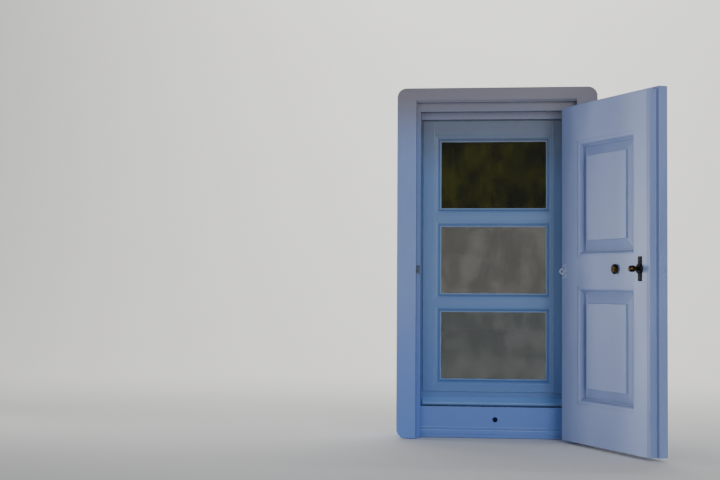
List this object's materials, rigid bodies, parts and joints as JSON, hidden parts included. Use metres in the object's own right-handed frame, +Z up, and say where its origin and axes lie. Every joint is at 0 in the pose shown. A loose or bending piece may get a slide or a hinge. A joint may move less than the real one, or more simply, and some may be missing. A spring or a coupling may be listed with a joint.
{
  "type": "window with shutter",
  "caption": "Small painted wooden casement window in its cased frame, with a glazed sash that opens inwards and a panelled shutter that swings outwards and latches",
  "frame": {"origin": "underside of the frame, half way along its width and half way through the depth of its jambs", "axes": "+Z up, -Y towards the street, +Y into the room, +X to the right seen from the street, towards the hinges"},
  "size_m": [0.5328, 0.426, 0.746],
  "materials": {
    "casing_paint": "brushed gloss paint, slightly weathered",
    "frame_paint": "brushed gloss paint",
    "sash_paint": "brushed gloss paint",
    "shutter_paint": "brushed gloss paint",
    "glass": "clear float glass",
    "putty": "painted linseed putty",
    "hinge_iron": "painted over",
    "screw_steel": "dull",
    "latch_iron": "dark oxide",
    "dark_brass": "tarnished",
    "knob_brass": "tarnished, rubbed brighter",
    "button_brass": "satin",
    "knob_wood": "gloss paint"
  },
  "bodies": {
    "frame": {"casing_left": "casing_paint", "casing_right": "casing_paint", "casing_head": "casing_paint", "jamb_left": "frame_paint", "jamb_right": "frame_paint", "head": "frame_paint", "sill": "frame_paint", "latch_keeper": "latch_iron", "shutter_hinge_fixed_lower": "hinge_iron", "shutter_hinge_fixed_upper": "hinge_iron", "shutter_hinge_pin_lower": "hinge_iron", "shutter_hinge_pin_upper": "hinge_iron", "sash_hinge_fixed_lower": "hinge_iron", "sash_hinge_fixed_upper": "hinge_iron", "sash_hinge_pin_lower": "hinge_iron", "sash_hinge_pin_upper": "hinge_iron", "frame_screws": "screw_steel", "turn_button_pivot": "screw_steel"},
    "sash": {"sash_stile_left": "sash_paint", "sash_stile_right": "sash_paint", "sash_top_rail": "sash_paint", "sash_bottom_rail": "sash_paint", "glazing_bar_lower": "sash_paint", "glazing_bar_upper": "sash_paint", "weather_bar": "sash_paint", "pane_lower": "glass", "pane_middle": "glass", "pane_upper": "glass", "putty_lower": "putty", "putty_middle": "putty", "putty_upper": "putty", "sash_hinge_moving_lower": "hinge_iron", "sash_hinge_moving_upper": "hinge_iron", "sash_screws": "screw_steel", "sash_pull": "knob_wood"},
    "shutter": {"shutter_stile_hinge": "shutter_paint", "shutter_stile_lock": "shutter_paint", "shutter_top_rail": "shutter_paint", "shutter_lock_rail": "shutter_paint", "shutter_bottom_rail": "shutter_paint", "shutter_panel_lower": "shutter_paint", "shutter_panel_upper": "shutter_paint", "shutter_hinge_moving_lower": "hinge_iron", "shutter_hinge_moving_upper": "hinge_iron", "shutter_screws": "screw_steel", "pull_knob": "knob_brass", "stay_eye": "dark_brass", "latch_plate": "dark_brass", "latch_case": "latch_iron", "latch_forend": "latch_iron"},
    "latch_knob": {"latch_knob": "dark_brass", "latch_spindle": "latch_iron", "latch_hub": "latch_iron"},
    "latch_bolt": {"latch_bolt": "latch_iron"},
    "turn_button": {"turn_button": "button_brass"}
  },
  "joints": [
    {"name": "shutter_swing", "type": "hinge", "parent": "frame", "child": "shutter", "pos_m": [0.166, -0.0615, 0.35125], "axis": [0, 0, 1], "range_deg": [-118, 57]},
    {"name": "sash_swing", "type": "hinge", "parent": "frame", "child": "sash", "pos_m": [0.1527, 0.0448, 0.375], "axis": [0, 0, -1], "range_deg": [0, 100]},
    {"name": "latch_turn", "type": "hinge", "parent": "shutter", "child": "latch_knob", "pos_m": [0.2727, -0.33672, 0.3588], "axis": [0.8829, 0.4695, 0], "range_deg": [0, 90]},
    {"name": "latch_bolt_slide", "type": "slide", "parent": "shutter", "child": "latch_bolt", "axis": [0.4695, -0.8829, 0], "range_m": [0, 0.009]},
    {"name": "turn_button_turn", "type": "hinge", "parent": "frame", "child": "turn_button", "pos_m": [-0.1815, 0.0425, 0.373], "axis": [0, 1, 0], "range_deg": [-90, 90]}
  ],
  "couplings": [
    {"joint": "latch_bolt_slide", "follows": "latch_turn", "m_per_rad": 0.005729}
  ]
}
